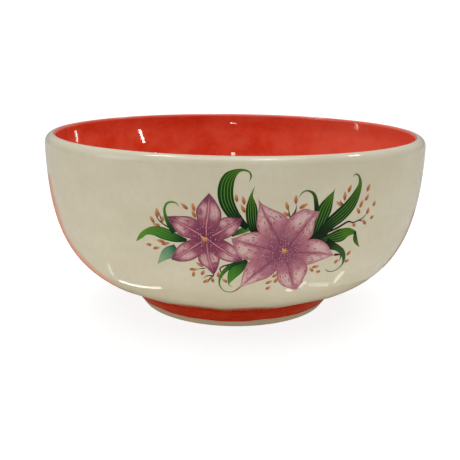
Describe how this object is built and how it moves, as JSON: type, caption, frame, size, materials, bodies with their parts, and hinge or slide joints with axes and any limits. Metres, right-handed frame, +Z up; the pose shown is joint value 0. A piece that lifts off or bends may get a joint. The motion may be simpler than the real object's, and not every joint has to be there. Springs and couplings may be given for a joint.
{
  "type": "porcelain serving bowl",
  "caption": "Round porcelain serving bowl on a tapered foot ring, ivory glaze outside, coral red glaze inside and on the foot, with an enamel print of two lilies on the front.",
  "frame": {"origin": "centre of the foot ring's standing face, on the bowl's axis", "axes": "+Z up along the bowl's axis; the lily print faces -Y, with +X to its right"},
  "size_m": [0.18, 0.1801, 0.084],
  "materials": {
    "bare_porcelain": "matt unglazed porcelain, slightly warm",
    "ivory_glaze": "glossy ivory glaze",
    "coral_glaze": "glossy coral red glaze, softly mottled",
    "coral_band": "satin coral red enamel",
    "well_glaze": "thin clear glaze over ivory porcelain",
    "purple_enamel": "fired purple enamel with pale streaks",
    "mauve_enamel": "fired mauve enamel with dark freckles",
    "yellow_enamel": "fired yellow orange enamel",
    "green_enamel": "fired green enamel with light veins",
    "brown_enamel": "fired dark brown enamel",
    "orange_enamel": "fired orange brown enamel"
  },
  "bodies": {
    "root": {"bowl_body": "bare_porcelain", "foot_ring": "bare_porcelain", "outer_glaze": "ivory_glaze", "inner_glaze": "coral_glaze", "foot_band": "coral_band", "well_glaze": "well_glaze", "left_lily_print": "purple_enamel", "right_lily_print": "mauve_enamel", "lily_heart_print": "yellow_enamel", "leaf_print": "green_enamel", "twig_print": "brown_enamel", "bud_print": "orange_enamel"}
  },
  "joints": []
}
